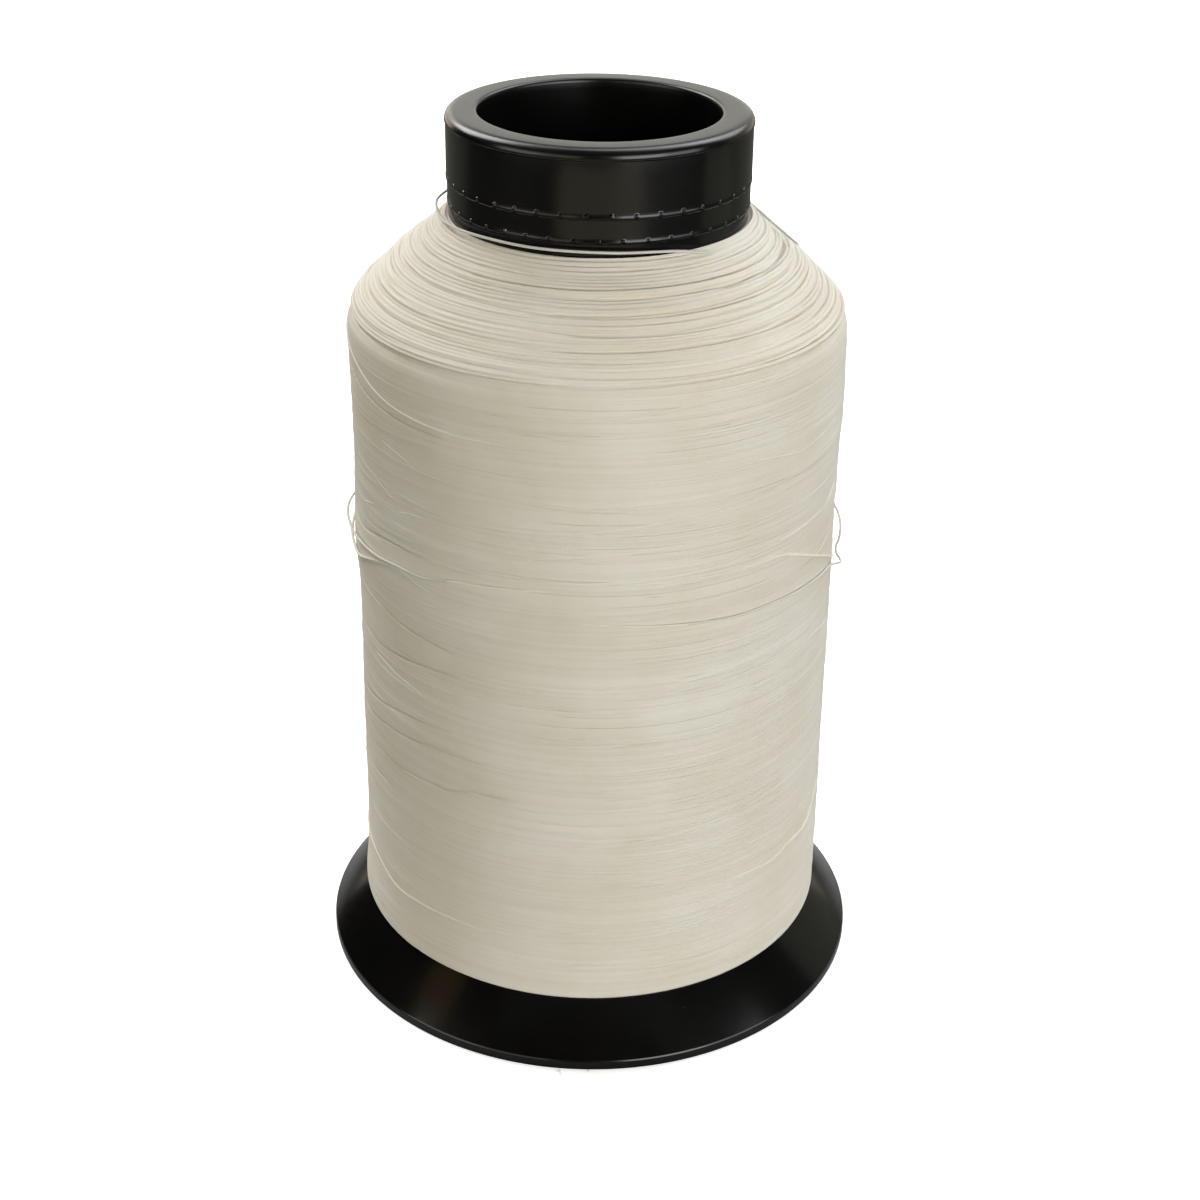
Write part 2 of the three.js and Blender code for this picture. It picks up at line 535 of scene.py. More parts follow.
# The collar and its lips down the outside: [depth below the rim, distance from the axis],
# millimetres.
COLLAR = [
    [0.0, 17.0],
    [0.01, 17.25],
    [0.05, 17.55],
    [0.14, 17.83],
    [0.28, 18.07],
    [0.47, 18.26],
    [0.7, 18.38],
    [0.92, 18.44],
    [1.08, 18.45],
    [1.17, 18.44],
    [1.2, 18.41],
    [1.24, 18.37],
    [1.3, 18.35],
    [1.34, 18.34],
    [1.4, 18.335],
    [1.5, 18.34],
    [3.0, 18.345],
    [5.0, 18.35],
    [7.2, 18.355],
    [7.5, 18.36],
]
UPPER_LIP = [
    [7.66, 18.38],
    [7.8, 18.4],
    [7.92, 18.4],
    [8.02, 18.37],
    [8.06, 18.31],
    [8.08, 18.26],
    [8.12, 18.25],
]
LOWER_COLLAR = [
    [8.14, 18.25],
    [8.17, 18.25],
    [8.5, 18.252],
    [9.3, 18.255],
    [10.2, 18.26],
    [10.42, 18.27],
]
LOWER_LIP = [
    [10.6, 18.3],
    [10.72, 18.31],
    [10.84, 18.29],
    [10.88, 18.24],
    [10.9, 18.19],
    [10.94, 18.17],
]
COLLAR_FOOT = [
    [10.96, 18.17],
    [10.99, 18.17],
    [11.3, 18.165],
]
# The wall inside the winding, down to the surface: [height, distance out from the wall],
# millimetres.
TUBE_WALL = [
    [102.9, 0.0],
    [101.0, 0.0],
    [60.0, 0.0],
    [0.25, 0.0],
    [0.06, -0.05],
    [0.0, -0.25],
]
# The bore from the surface up: [height, distance out from the bore], millimetres.
BORE_WALL = [
    [0.0, 0.4],
    [0.08, 0.1],
    [0.4, 0.0],
    [60.0, 0.0],
]
# The bore's rounded top edge: [depth below the rim, distance out from the bore], millimetres.
BORE_EDGE = [
    [0.5, 0.0],
    [0.24, 0.04],
    [0.08, 0.14],
    [0.01, 0.34],
    [0.0, 0.6],
]


def notch_arch(angle, offset):
    """How far a lip lifts at each angle: a row of small half-round notches in its lower edge."""
    pitch = TURN / NOTCHES
    from_centre = (angle + TURN / 4 - offset * pitch + pitch / 2) % pitch - pitch / 2
    across = from_centre * WALL_RADIUS / NOTCH_HALF_WIDTH
    return NOTCH_RISE * np.sqrt(np.clip(1 - across**2, 0, 1))


def tube_angles():
    step = TURN / (2 * NOTCHES)
    fractions = np.array(TUBE_COLUMNS_PER_STEP)
    return (np.arange(2 * NOTCHES)[:, None] * step + fractions * step - TURN / 4).ravel()


def below_rim(rows, inner=0.0):
    """An outline in metres from rows of depth below the rim and distance out from a radius."""
    return np.array([[inner + out * MM, HEIGHT - depth * MM] for depth, out in rows])


def above_floor(rows, inner):
    """An outline in metres from rows of height and distance out from a radius."""
    return np.array([[inner + out * MM, height * MM] for height, out in rows])


def add_tube(material):
    """The whole tube, turned about the axis, with notches in the lower edges of its two lips."""
    angle = tube_angles()
    upper, lower = notch_arch(angle, 0.5), notch_arch(angle, 0.0)
    stretches = (
        (below_rim(COLLAR), 0),
        (below_rim(UPPER_LIP), upper),
        (below_rim(LOWER_COLLAR), 0),
        (below_rim(LOWER_LIP), lower),
        (below_rim(COLLAR_FOOT), 0),
        (above_floor(TUBE_WALL, WALL_RADIUS), 0),
        (above_floor(BORE_WALL, BORE_RADIUS), 0),
        (below_rim(BORE_EDGE, BORE_RADIUS), 0),
    )
    parts = []
    for outline, lift in stretches:
        rings = turned_rings(outline, angle)
        rings[..., 2] += lift
        parts.append(rings)
    grid = np.concatenate(parts)
    faces = ring_faces(len(grid), len(angle), True)[:, ::-1]
    piece = add_mesh("moulded_tube", grid.reshape(-1, 3).tolist(), faces.tolist(), material)
    return dress(piece, PLASTIC_SLOT, "spool_tube")


# ------------------------------------------------------------------------------------------ foot

FOOT_COLUMNS = 288
FOOT_HOLE = 18.45 * MM
FOOT_EDGE = 31.25 * MM
FOOT_CORNER = 0.97 * MM
FOOT_WALL = 2.0 * MM
RIM_ROUND = 0.62 * MM
TOP_ROUND = 0.45 * MM
HEEL_ROUND = 0.08 * MM


def arc(centre, radius, start, end, count):
    """Points of a round corner, angles in degrees from outward towards up."""
    angle = np.radians(np.linspace(start, end, count))
    return np.stack(
        [centre[0] + radius * np.cos(angle), centre[1] + radius * np.sin(angle)], axis=1
    )


def foot_outline():
    """Rows of radius and height round the foot's section, from inside the rim over the top."""
    slope = (FOOT_EDGE - FOOT_RADIUS) / (FOOT_TOP - FOOT_CORNER)
    tilt = math.degrees(math.atan(-slope))
    lean = FOOT_WALL * math.hypot(1, slope)
    under = FOOT_TOP - FOOT_WALL
    heel = FOOT_RADIUS - HEEL_ROUND, HEEL_ROUND
    rim = FOOT_RADIUS - RIM_ROUND, FOOT_CORNER - 0.05 * MM
    top = FOOT_EDGE - 0.3 * MM, FOOT_TOP - TOP_ROUND

    def inner(height):
        return FOOT_RADIUS + slope * (height - FOOT_CORNER) - lean

    stretches = [
        [[inner(0.3 * MM), 0.3 * MM], [inner(0) + 0.25 * MM, 0.0]],
        [[FOOT_RADIUS - 0.12 * MM, 0.0]],
        arc(heel, HEEL_ROUND, -70, 0, 4),
        arc(rim, RIM_ROUND, 0, 90 - tilt, 8),
        arc(top, TOP_ROUND, 90 - tilt, 90, 7),
        [[FOOT_HOLE + 0.2 * MM, FOOT_TOP], [FOOT_HOLE, FOOT_TOP - 0.2 * MM]],
        [[FOOT_HOLE, under], [inner(under) - 0.5 * MM, under]],
        [[inner(under) + 0.1 * MM, under - 0.35 * MM]],
    ]
    return np.vstack(stretches)


def add_foot(material):
    """A thin conical skirt under a flat plate, with a rounded rim."""
    outline = foot_outline()
    rings = turned_rings(outline, np.arange(FOOT_COLUMNS) / FOOT_COLUMNS * TURN)
    faces = ring_faces(len(outline), FOOT_COLUMNS, True)
    piece = add_mesh("moulded_foot", rings.reshape(-1, 3).tolist(), faces.tolist(), material)
    return dress(piece, PLASTIC_SLOT, "flared_foot")


# --------------------------------------------------------------------------------------- winding

# Everything about the winding is worked out in millimetres and turned into metres at the end.
PACKAGE = {
    "bottom_radius": 31.33,
    "top_radius": 30.98,
    "bottom_round": 0.5,
    "corner_height": 88.6,
    "corner_tip": 91.75,
    "shoulder_radius": 28.45,
    "shoulder_height": 93.8,
    "dome_radius": 24.7,
    "dome_height": 97.85,
    "collar_radius": 18.2,
    "collar_height": 102.55,
}
# The package isn't quite round: where it swells or draws in, and by how much.
SWELLS = [
    {"angle": 180, "height": 7.4, "spread": 3.2, "rise": 0.42},
    {"angle": 180, "height": 26.0, "spread": 15.0, "rise": -0.32},
    {"angle": 180, "height": 52.0, "spread": 9.0, "rise": -0.38},
    {"angle": 180, "height": 61.5, "spread": 3.2, "rise": 0.28},
    {"angle": 180, "height": 75.0, "spread": 8.0, "rise": -0.3},
    {"angle": 0, "height": 17.0, "spread": 7.0, "rise": 0.13},
    {"angle": 0, "height": 65.0, "spread": 6.0, "rise": -0.12},
    {"angle": 0, "height": 80.0, "spread": 4.0, "rise": 0.14},
    {"angle": 95, "height": 34.0, "spread": 12.0, "rise": 0.16},
    {"angle": 70, "height": 70.0, "spread": 9.0, "rise": -0.15},
]
# The mesh is rows up the outline by columns round the axis, cut into these pieces.
ROW_STEP = 0.058
COLUMNS = 176
BAND_NAMES = ("winding_low", "winding_middle", "winding_high", "winding_shoulder")
THREAD_WIDTH = 0.38
THREAD_THICKNESS = 0.12
# How much of the turns' relief is left on the side, which is pressed almost smooth.
PACKED_RELIEF = 0.17
SHOULDER_EDGE = 91.2
# Passes over the whole winding: the turns' pitch, how far they stray, and in how fast waves.
UNDER_PASSES = [(0.40, 0.05, 2), (0.42, 0.06, 2), (0.38, 0.03, 3)]
# Thin passes over the side alone, and the shoulder's last passes with how far their turns stray.
STRAY_PITCHES = (5.3, 4.1)
SHOULDER_PASSES = [(0.82, 0.3), (0.74, 0.28), (0.66, 0.25), (0.6, 0.22), (0.52, 0.17), (0.46, 0.13)]


def curve(start, pull, end, count):
    """A quadratic curve, as the CAD outline has."""
    t = np.linspace(0, 1, count)[:, None]
    return (
        (1 - t) ** 2 * np.array(start)
        + 2 * t * (1 - t) * np.array(pull)
        + t**2 * np.array(end)
    )


def package_outline():
    """Rows of radius, height and outward direction, evenly spaced from the foot to the collar."""
    p = PACKAGE
    bottom = FOOT_TOP / MM + 0.02
    low = p["bottom_radius"] - p["bottom_round"], bottom
    heel = p["bottom_radius"], bottom
    side = p["bottom_radius"], bottom + p["bottom_round"]
    tip = p["top_radius"], p["corner_height"]
    shoulder = p["shoulder_radius"], p["shoulder_height"]
    collar = p["collar_radius"], p["collar_height"]
    rough = np.vstack(
        [
            curve(low, heel, side, 20),
            [tip],
            curve(tip, (p["top_radius"], p["corner_tip"]), shoulder, 60)[1:],
            curve(shoulder, (p["dome_radius"], p["dome_height"]), collar, 120)[1:],
        ]
    )
    along = distance_along(rough)
    at = np.arange(0, along[-1], ROW_STEP)
    rows = np.stack([np.interp(at, along, rough[:, k]) for k in range(2)], axis=1)
    run = np.gradient(rows, axis=0)
    run /= np.linalg.norm(run, axis=1)[:, None]
    outward = np.stack([run[:, 1], -run[:, 0]], axis=1)
    return rows, outward


def wander(rng, turns, size, slowest, fastest, waves=9):
    """A smooth aimless shift at each place along a thread. Its waves are so many to a turn."""
    rate = np.exp(rng.uniform(math.log(slowest), math.log(fastest), waves))
    lag = rng.uniform(0, TURN, waves)
    weight = rng.uniform(0.4, 1.0, waves) / np.sqrt(rate)
    total = sum(w * np.sin(TURN * r * turns + k) for w, r, k in zip(weight, rate, lag))
    return size * total / np.sqrt((weight**2).sum() / 2)


def smooth_round(values, width):
    """Evens out a ring of values over neighbouring columns."""
    reach = int(3 * width)
    steps = np.arange(-reach, reach + 1)
    weight = np.exp(-0.5 * (steps / width) ** 2)
    weight /= weight.sum()
    return sum(w * np.roll(values, step) for w, step in zip(weight, steps))


def smooth_rows(field, width):
    """Evens out a field along its rows."""
    reach = int(2.5 * width)
    steps = np.arange(-reach, reach + 1)
    weight = np.exp(-0.5 * (steps / width) ** 2)
    padded = np.pad(field, ((reach, reach), (0, 0)), mode="edge")
    shifted = (padded[reach + step : reach + step + len(field)] for step in steps)
    return sum(w * rows for w, rows in zip(weight, shifted)) / weight.sum()


def lay_pass(field, tone, rng, start, end, pitch, drift, thickness=THREAD_THICKNESS):
    """Winds the thread from one row to another, each turn resting on what is already there.

    The drift is how far the turns stray, and the slowest and fastest of its waves to a turn.
    """
    rows = field.shape[0]
    turn_count = int(abs(end - start) * ROW_STEP / pitch)
    t = np.arange(turn_count * COLUMNS) / COLUMNS
    way = 1 if end > start else -1
    centre = start + way * (t * pitch + wander(rng, t, *drift)) / ROW_STEP
    centre = centre.reshape(turn_count, COLUMNS)
    half = THREAD_WIDTH / 2 / ROW_STEP
    reach = np.arange(-math.ceil(half), math.ceil(half) + 1)
    columns = np.arange(COLUMNS)
    for turn in centre:
        row = np.round(turn)[None, :].astype(int) + reach[:, None]
        off = (row - turn[None, :]) / half
        cap = thickness / 2 * np.sqrt(np.clip(1 - off**2, 0, None))
        inside = (np.abs(off) < 1) & (row >= 0) & (row < rows)
        row = np.clip(row, 0, rows - 1)
        here = field[row, columns]
        under = np.where(inside, here + cap * 0.6, -9.0).max(axis=0)
        rest = smooth_round(under, 1.6)
        top = np.where(inside, rest + cap, -9.0)
        higher = top > here
        field[row, columns] = np.where(higher, top, here)
        shade = rng.uniform(0, 1)
        tone[row, columns] = np.where(higher, shade, tone[row, columns])


def wind_package(rng, heights):
    """Height over the outline and tone of every point, rows by columns."""
    field = np.zeros((len(heights), COLUMNS))
    tone = np.zeros((len(heights), COLUMNS))
    top = len(heights) - 1
    edge = int(np.searchsorted(heights, SHOULDER_EDGE))
    for number, (pitch, stray, fastest) in enumerate(UNDER_PASSES):
        ends = (top, 0) if number % 2 else (0, top)
        lay_pass(field, tone, rng, *ends, pitch, (stray, 0.1, fastest))
    level = smooth_rows(field, 12)
    packed = np.arange(len(heights)) < edge
    field[packed] = (level + PACKED_RELIEF * (field - level))[packed]
    for pitch in STRAY_PITCHES:
        lay_pass(field, tone, rng, 0, edge, pitch, (1.3, 0.3, 3), 0.025)
    for number, (pitch, stray) in enumerate(SHOULDER_PASSES):
        low = edge + int(rng.uniform(-0.3, 0.6) / ROW_STEP)
        ends = (low, top) if number % 2 else (top, low)
        lay_pass(field, tone, rng, *ends, pitch, (stray, 0.2, 4))
    return field, tone


def press_furrows(field, depth, heights):
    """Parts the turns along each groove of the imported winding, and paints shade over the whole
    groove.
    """
    angle = np.degrees(column_angles())
    for rows in FURROWS:
        table = np.array(rows, float)
        low, high = table[:, 0].min(), table[:, 0].max()
        order = np.argsort(table[:, 0])
        for column, turn in enumerate(angle):
            turn = low + (turn - low) % 360
            if turn < high:
                middle = np.interp(turn, table[order, 0], table[order, 1])
                fade = min(1.0, (turn - low) / FURROW_FADE, (high - turn) / FURROW_FADE)
                dent = fade * np.exp(-0.5 * ((heights - middle) / FURROW_WIDTH) ** 2)
                field[:, column] -= FURROW_DEPTH * dent
                # Painted shade, wider than the dent, so that even the groove's lit lower wall reads
                # dark.
                depth[:, column] += FURROW_SHADE * dent**0.4


def column_angles():
    """The columns' angles, from the back, so that the mesh's seam is out of sight."""
    return np.arange(COLUMNS) / COLUMNS * TURN + TURN / 4


def swell(angle, height):
    """How far the uneven package stands out of its outline at each angle and height."""
    total = 0
    for row in SWELLS:
        side = np.exp(2.0 * (np.cos(angle - math.radians(row["angle"])) - 1))
        total = total + row["rise"] * side * np.exp(
            -0.5 * ((height - row["height"]) / row["spread"]) ** 2
        )
    return total


def grid_normals(grid):
    """The direction straight out of the surface at every point of the grid."""
    around = np.roll(grid, -1, axis=1) - np.roll(grid, 1, axis=1)
    normals = np.cross(around, np.gradient(grid, axis=0))
    return normals / np.linalg.norm(normals, axis=-1)[..., None]


def wound_surface(rng):
    """The outline's heights, then points in millimetres, tones, and depths that are painted as
    shade, rows by columns.
    """
    rows, outward = package_outline()
    heights = rows[:, 1]
    field, tone = wind_package(rng, heights)
    field = smooth_rows(field, 0.8)
    level = smooth_rows(field, 40)
    crest = smooth_rows(field, 5) + 0.04
    # How deep each point lies below the crests, painted later as shade in the valleys.
    depth = np.clip((crest - field) / 0.14, 0, 1)
    press_furrows(field, depth, heights)
    angle = column_angles()
    relief = field - level.mean(axis=1)[:, None]
    radius = rows[:, :1] + outward[:, :1] * relief + swell(angle[None, :], rows[:, 1:])
    lift = rows[:, 1:] + outward[:, 1:] * relief
    grid = np.stack([radius * np.cos(angle), radius * np.sin(angle), lift], axis=-1)
    return heights, grid, tone, depth


def add_band(name, ends, grid, normals, shades, material):
    """One closed ring of the winding: its surface, and the core wall between its two ends."""
    angle = column_angles()
    core = np.array([[WALL_RADIUS / MM + 0.02, end] for end in ends[::-1]])
    inward = -np.stack([np.cos(angle), np.sin(angle), 0 * angle], axis=1)
    points = np.concatenate([grid, turned_rings(core, angle)]) * MM
    faces = ring_faces(len(points), COLUMNS, True)
    piece = add_mesh(name, points.reshape(-1, 3).tolist(), faces.tolist(), material)
    for label, values in shades.items():
        layer = piece.data.attributes.new(label, "FLOAT", "POINT")
        layer.data.foreach_set("value", np.concatenate([values, 0 * values[:2]]).ravel())
    corners = np.concatenate([normals, [inward, inward]]).reshape(-1, 3)
    piece.data.normals_split_custom_set_from_vertices(corners.tolist())
    dress(piece, THREAD_SLOT, "thread_package")


def add_winding(rng, material):
    """The whole winding, cut into bands that stay small enough as single pieces."""
    heights, grid, tone, depth = wound_surface(rng)
    normals = grid_normals(grid)
    cuts = np.linspace(0, len(grid) - 1, len(BAND_NAMES) + 1).astype(int)
    for name, first, last in zip(BAND_NAMES, cuts[:-1], cuts[1:]):
        part = slice(first, last + 1)
        shades = {"tone": tone[part], "depth": depth[part]}
        add_band(name, heights[[first, last]], grid[part], normals[part], shades, material)


# ------------------------------------------------------------------------- strands on the winding

SURFACE_STRAND_RADIUS = 0.18
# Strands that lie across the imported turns: how far the strand's centre stands off the winding's
# mean surface, and its line as [angle in degrees, height], in millimetres.
LYING_STRANDS = [
    (-0.06, [[-205, 90.4], [-195, 89.8], [-180, 89.0], [-168, 87.8], [-158.7, 86.9], [-152, 85.9],
             [-145, 85.1], [-137, 84.5], [-125, 84.1], [-112, 84.0], [-98, 84.2]]),
    (0.02, [[40, 55.8], [25, 55.8], [8, 56.0], [-7.6, 58.3], [-22, 62.0], [-39, 66.0],
            [-44, 66.9], [-52, 67.1], [-57, 67.1], [-66, 67.3], [-80, 67.4], [-92, 67.7]]),
    (0.0, [[-190, 17.0], [-178, 16.6], [-165.6, 16.4], [-155, 16.0], [-146, 15.0],
           [-137, 15.3], [-125, 15.7], [-108, 15.5]]),
    (0.0, [[-2, 27.5], [-17.6, 24.9], [-23, 22.8], [-35, 22.6], [-41, 22.05], [-49, 22.4],
           [-60, 22.3]]),
    (-0.13, [[-160, 48.4], [-149.4, 48.5], [-142.8, 48.1], [-136.1, 47.8], [-129.8, 47.0],
             [-120, 46.4]]),
    (-0.13, [[-162, 68.4], [-155.8, 69.2], [-148.7, 70.3], [-142.9, 70.9], [-138.1, 71.5],
             [-133.6, 71.9], [-126, 72.0]]),
    (-0.14, [[-166, 74.7], [-159, 74.2], [-151, 73.9], [-144, 73.0], [-139, 72.2]]),
    (-0.14, [[-148, 79.6], [-143, 79.3], [-137, 78.7], [-132, 77.9], [-127, 77.6]]),
    (-0.13, [[-168, 61.8], [-162.7, 62.2], [-156.5, 62.7], [-147.9, 63.5], [-139.9, 63.7],
             [-132.3, 62.8], [-120, 62.2]]),
    (-0.14, [[-8, 70.8], [-19.6, 69.9], [-24.6, 68.6], [-31, 68.4], [-37.6, 67.6]]),
    (-0.13, [[-12, 80.6], [-23.6, 80.4], [-32.9, 79.8], [-39.2, 79.7], [-47.3, 80.3],
             [-53.7, 80.8], [-66, 81.2]]),
    (-0.13, [[-6, 50.9], [-18.2, 51.4], [-27.3, 52.1], [-33.5, 51.8], [-42.4, 50.4],
             [-50.1, 50.1], [-62, 50.3]]),
]
# Where turns part and leave a groove: [angle in degrees, height], millimetres.
FURROWS = [
    [[-192, 87.6], [-172, 86.1], [-160, 84.7], [-150, 83.9], [-138, 83.3], [-124, 83.1]],
    [[-184, 57.8], [-166, 56.8], [-158.9, 56.6], [-152, 56.6], [-146.9, 56.4], [-134.9, 55.7],
     [-122, 55.2]],
    [[4, 67.4], [-7.4, 66.2], [-17.9, 64.6], [-24.3, 63.7], [-36, 63.2]],
    [[-180, 64.7], [-162, 65.0], [-156.5, 65.3], [-149, 66.1], [-142.4, 66.6], [-130, 66.9]],
    [[-166, 50.1], [-158, 50.2], [-150.1, 50.5], [-142.5, 51.0], [-132.3, 51.7], [-122, 52.3]],
    [[-168, 40.4], [-160.3, 41.0], [-148.2, 42.3], [-141, 43.0], [-135.4, 43.4], [-124, 43.9]],
    [[-170, 37.5], [-160.1, 38.0], [-149.5, 39.2], [-139.9, 39.8], [-130.7, 40.6], [-116, 40.8]],
    [[-158, 34.2], [-145.6, 34.5], [-135.7, 34.9], [-124.7, 35.3], [-119, 36.3], [-108, 36.6]],
    [[-166, 29.5], [-158, 29.9], [-151.8, 30.4], [-144, 30.2]],
]
FURROW_WIDTH = 0.1
FURROW_DEPTH = 0.16
FURROW_SHADE = 2.6
FURROW_FADE = 6
# Strands that come out of the winding or go back into it: [angle in degrees, distance from the
# axis, height]. The first is a low loop on the left. The others are where the slack strand ends.
RISING_STRANDS = [
    [[-197, 30.7, 60.3], [-191, 31.1, 60.5], [-186, 31.3, 60.85], [-181, 31.35, 61.15],
     [-176, 31.38, 61.05], [-172, 31.45, 60.83], [-168.5, 31.38, 60.6], [-164.5, 31.32, 60.4],
     [-160.4, 31.27, 60.7], [-153.4, 31.2, 62.0], [-148, 31.12, 62.95], [-143.5, 31.02, 63.5],
     [-137, 30.8, 63.8]],
    [[-124, 31.22, 65.1], [-122, 31.22, 65.35], [-113, 31.14, 65.8], [-104, 31.0, 66.15],
     [-94, 30.78, 66.4]],
    [[-429, 31.22, 61.52], [-431, 31.22, 61.6], [-440, 31.14, 61.9], [-450, 30.98, 62.15],
     [-460, 30.78, 62.3]],
]
CROSSING_COUNT = 16


def package_radius(angle, height):
    """The winding's mean radius at an angle in radians and a height on the body."""
    p = PACKAGE
    share = (height - FOOT_TOP / MM) / (p["corner_height"] - FOOT_TOP / MM)
    plain = p["bottom_radius"] + share * (p["top_radius"] - p["bottom_radius"])
    return plain + swell(angle, height)


def lying_line(angle, height, stand_off):
    """Points in millimetres of a strand on the body whose two ends go down into the winding."""
    ends = np.minimum(np.linspace(0, 1, len(angle)), np.linspace(1, 0, len(angle))) * 6
    lift = stand_off - 0.4 * np.clip(1 - ends, 0, 1) ** 2
    radius = package_radius(angle, height) + lift
    return np.stack([radius * np.cos(angle), radius * np.sin(angle), height], axis=1)


def hand_placed_line(stand_off, rows):
    """A lying strand's line in millimetres, from its stand-off and its rows."""
    table = np.array(rows, float)
    flat = smooth_line(np.column_stack([table, 0 * table[:, 0]]), 8)
    return lying_line(np.radians(flat[:, 0]), flat[:, 1], stand_off)


def crossing_line(rng):
    """One more strand on a gentle slope, at a random place on the back half."""
    middle = rng.uniform(0.15, 0.85) * TURN / 2
    reach = rng.uniform(0.2, 0.6)
    slope = rng.choice([-1, 1]) * rng.uniform(0.03, 0.17)
    t = np.linspace(-1, 1, 50)
    bend = rng.uniform(-1.2, 1.2) * t**2 + rng.uniform(-0.5, 0.5) * np.sin(5 * t)
    height = rng.uniform(12, 86) + slope * BODY_RADIUS / MM * reach * t + bend
    return lying_line(middle + reach * t, height, rng.uniform(-0.16, -0.1))


def add_surface_strands(rng, material):
    """The single strands that lie across the winding, stand off it or sink into it."""
    lines = [hand_placed_line(*placing) for placing in LYING_STRANDS]
    lines += [crossing_line(rng) for _ in range(CROSSING_COUNT)]
    lines += [smooth_line(round_the_axis(rows)) for rows in RISING_STRANDS]
    parts = [
        tube_parts(even_line(line, 0.6) * MM, SURFACE_STRAND_RADIUS * MM, 8) for line in lines
    ]
    dress(add_mesh("crossing_strands", *join_parts(parts), material), THREAD_SLOT)


# Where a little lint clings, in millimetres: [angle in degrees, height, distance from the axis,
# size].
LINT_PLACES = [
    [-172.6, 86.75, 31.05, 0.8],
    [-172.6, 82.3, 31.15, 0.8],
    [-172.6, 28.1, 31.0, 1.0],
    [-125.1, 104.66, 18.27, 0.16],
    [-95.6, 0.1, 37.0, 0.9],
    [-89.8, 0.1, 36.6, 0.6],
    [60, 47.0, 31.2, 1.0],
    [130, 70.0, 30.95, 1.0],
]
LINT_HAIRS = 7


def add_lint(rng, material):
    """Small tufts of loose fibre on the winding and the foot's rim."""
    parts = []
    for angle, height, radius, size in LINT_PLACES:
        turn = math.radians(angle)
        outward = np.array([math.cos(turn), math.sin(turn), 0.0])
        root = np.array([radius * outward[0], radius * outward[1], height])
        for _ in range(LINT_HAIRS):
            aim = outward * rng.uniform(0.1, 0.5) + rng.normal(0, 0.3, 3)
            curl = rng.normal(0, 0.25, 3)
            t = np.linspace(0, 1, 8)[:, None]
            reach = rng.normal(0, 0.12, 3) - outward * 0.1 + aim * t + curl * t**2
            hair = root + size * reach
            hair[:, 2] = np.clip(hair[:, 2], 0.05, None)
            parts.append(tube_parts(hair * MM, FIBRE_RADIUS * 1.4, 4))
    dress(add_mesh("lint", *join_parts(parts), material), THREAD_SLOT)


# ------------------------------------------------------------------------------ floor and lights

# How far from the axis the floor's own grey starts and ends its fall towards black.
NEAR_FLOOR = 0.045
FAR_FLOOR = 0.1
FLOOR_RADIUS = 4.0


def add_floor():
    """A plain white sweep. It throws back less light than it shows, and far off least of all."""
    s = Shader("pale_floor")
    tint = s.blend(s.noise(s.place(), 3.0), (0.93, 0.93, 0.93, 1), (0.95, 0.95, 0.95, 1))
    shown = s.node("ShaderNodeBsdfPrincipled", Base_Color=tint, Roughness=0.9)
    shown.inputs["Specular IOR Level"].default_value = 0.0
    s.put(shown.inputs["Emission Color"], tint)
    shown.inputs["Emission Strength"].default_value = 0.6
    away = s.node("ShaderNodeVectorMath", {"operation": "LENGTH"})
    s.put(away.inputs[0], s.place())
    far = s.spread(away.outputs["Value"], NEAR_FLOOR, FAR_FLOOR, 0.0, 1.0)
    grey = s.blend(far, (0.4, 0.4, 0.4, 1), (0.05, 0.05, 0.05, 1))
    dull = s.node("ShaderNodeBsdfDiffuse", Color=grey)
    seen = s.node("ShaderNodeLightPath").outputs["Is Camera Ray"]
    both = s.nodes.new("ShaderNodeMixShader")
    s.put(both.inputs[0], seen)
    s.put(both.inputs[1], dull.outputs[0])
    s.put(both.inputs[2], shown.outputs[0])
    material = s.finish(both)
    angle = np.arange(96) / 96 * TURN
    edge = turned_rings(np.array([[FLOOR_RADIUS, 0.0]]), angle)[0]
    floor = add_mesh("floor", edge.tolist(), [tuple(range(96))], material)


def add_area_light(name, size, watts, place, turn):
    """One rectangular area light that the camera itself doesn't see, its watts in each colour."""
    data = bpy.data.lights.new(name, "AREA")
    data.shape = "RECTANGLE"
    data.size, data.size_y = size
    data.energy = max(watts)
    data.color = [share / max(watts) for share in watts]
    light = bpy.data.objects.new(name, data)
    light.location = place
    light.rotation_euler = turn
    light.visible_camera = False
    bpy.context.collection.objects.link(light)


AIM = Vector((0, 0, 0.06))
LIGHT_DISTANCE = 0.75
# Soft panels that face the object: where each stands, in degrees, its width and height in metres,
# and its watts in each colour.
PANELS = [
    ["left", -150, 12, (0.42, 0.42), (1.05, 1.03, 0.9)],
    ["left_front", -120, 12, (0.42, 0.42), (0.52, 0.51, 0.4)],
    ["front_right", -60, 12, (0.42, 0.42), (2.95, 2.95, 2.89)],
    ["right_low", -30, 12, (0.42, 0.42), (1.45, 1.45, 1.45)],
    ["right_back_low", 30, 12, (0.42, 0.42), (0.14, 0.14, 0.12)],
    ["back_glow", 60, 5, (0.42, 0.3), (0.36, 0.32, 0.27)],
    ["back_low", 90, 12, (0.42, 0.42), (0.69, 0.68, 0.61)],
    ["back_left_low", 120, 12, (0.42, 0.42), (0.81, 0.73, 0.62)],
    ["back_right", 45, 42, (0.42, 0.42), (2.08, 2.12, 2.16)],
    ["back_left", 135, 42, (0.42, 0.42), (4.27, 4.22, 4.21)],
    ["high_right", 60, 60, (0.42, 0.42), (1.45, 1.52, 1.59)],
    ["back_high", 90, 62, (0.42, 0.3), (0.39, 0.37, 0.38)],
    ["front_high", -90, 64, (0.9, 0.4), (0.07, 0.07, 0.07)],
    ["warm_spot", -165, 34, (0.17, 0.17), (0.027, 0.016, 0.006)],
]


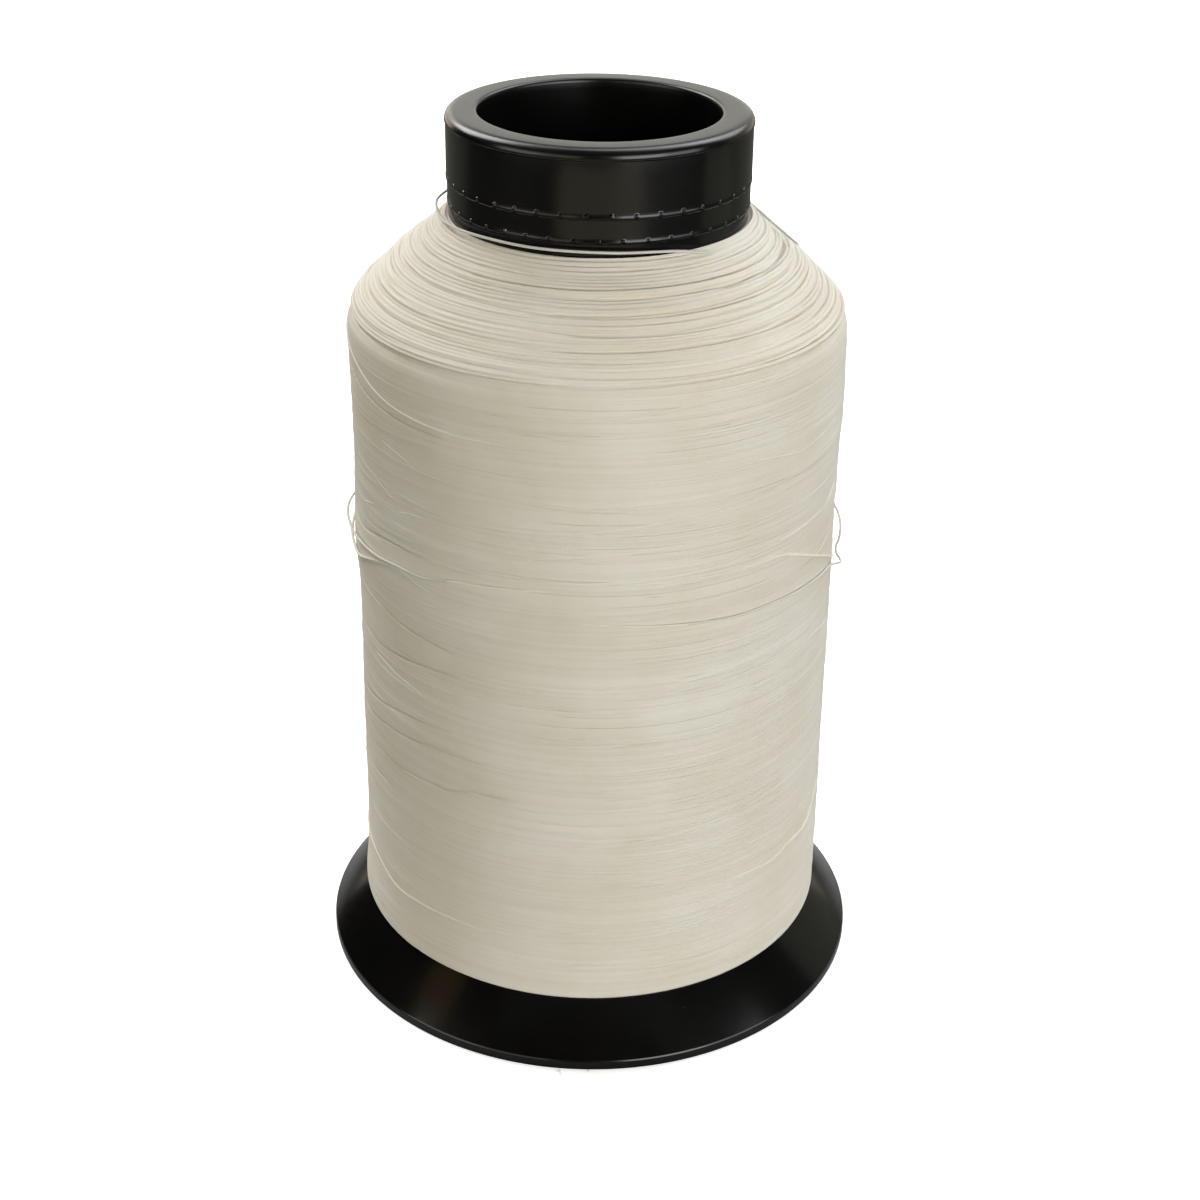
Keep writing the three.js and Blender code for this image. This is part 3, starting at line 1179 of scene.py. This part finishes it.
def add_panel(name, angle, rise, size, watts):
    """One panel, facing the middle of the object."""
    turn, lift = math.radians(angle), math.radians(rise)
    level = math.cos(lift)
    away = Vector((math.cos(turn) * level, math.sin(turn) * level, math.sin(lift)))
    facing = (-away).to_track_quat("-Z", "Y").to_euler()
    add_area_light(name, size, watts, AIM + away * LIGHT_DISTANCE, facing)


CARD_HEIGHT = 0.004
FACE_UP = (math.pi, 0, 0)
# Pale cards on the floor, which show only in the gloss of the plastic: the centre, the width and
# depth in metres, and the watts in each colour.
CARDS = [
    ["front_card", (0.01, -0.37), (0.4, 0.2), (0.14, 0.125, 0.085)],
    ["back_card", (0.0, 0.37), (1.0, 0.44), (0.1, 0.1, 0.07)],
    ["right_card", (0.42, 0.05), (0.34, 0.2), (0.04, 0.04, 0.03)],
]


def add_world():
    """White where the camera looks past the floor, and no light from it on the object."""
    world = bpy.data.worlds.new("studio")
    world.use_nodes = True
    nodes, links = world.node_tree.nodes, world.node_tree.links
    dark = nodes["Background"]
    dark.inputs["Strength"].default_value = 0.0
    white = nodes.new("ShaderNodeBackground")
    white.inputs["Color"].default_value = (1.0, 1.0, 1.0, 1)
    white.inputs["Strength"].default_value = 1.0
    both = nodes.new("ShaderNodeMixShader")
    links.new(nodes.new("ShaderNodeLightPath").outputs["Is Camera Ray"], both.inputs[0])
    links.new(dark.outputs[0], both.inputs[1])
    links.new(white.outputs[0], both.inputs[2])
    links.new(both.outputs[0], nodes["World Output"].inputs["Surface"])
    bpy.context.scene.world = world


def main():
    rng = np.random.default_rng(SEED)
    add_camera()
    loose = thread_material("ivory_thread_loose", LOOSE_PALE_SHADED, LOOSE_WARM_SHADED)
    end_line = add_strand("end_strand", END_STRAND_ROUTE, loose)
    add_strand("slack_strand", SLACK_STRAND_ROUTE, loose)
    fray = add_mesh("frayed_end", *join_parts(frayed_tip(end_line, rng)), loose)
    dress(fray, THREAD_SLOT)

    plastic = plastic_material()
    add_tube(plastic)
    add_foot(plastic)
    add_winding(rng, thread_material("ivory_thread_wound", THREAD_PALE, THREAD_WARM, True))
    add_surface_strands(rng, thread_material("ivory_thread_lying", THREAD_PALE, THREAD_WARM))
    add_lint(rng, loose)

    add_floor()
    add_world()
    for panel in PANELS:
        add_panel(*panel)
    for name, centre, size, watts in CARDS:
        add_area_light(name, size, watts, (*centre, CARD_HEIGHT), FACE_UP)
    bpy.context.scene.view_settings.view_transform = "Standard"


main()
